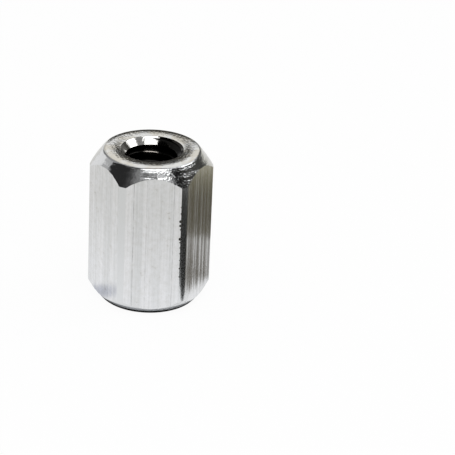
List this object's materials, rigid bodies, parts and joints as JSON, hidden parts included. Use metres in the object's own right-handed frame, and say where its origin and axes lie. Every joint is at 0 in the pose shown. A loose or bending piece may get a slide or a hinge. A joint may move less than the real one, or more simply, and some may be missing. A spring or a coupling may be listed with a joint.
{
  "type": "hex standoff",
  "caption": "Hexagonal threaded spacer turned from bright bar, chamfered at both ends and tapped right through to hold two plates apart on screws.",
  "frame": {"origin": "centre of the base end face, on the axis of the tapped hole", "axes": "+Z along the axis of the tapped hole towards the top end face, -Y square to one flat, +X through a corner of the hexagon"},
  "size_m": [0.0062, 0.0056, 0.008],
  "materials": {
    "bright_steel": "bright drawn on the flats, fine turned on the end faces, chamfers and countersinks"
  },
  "bodies": {
    "root": {"hex_standoff": "bright_steel"}
  },
  "joints": []
}
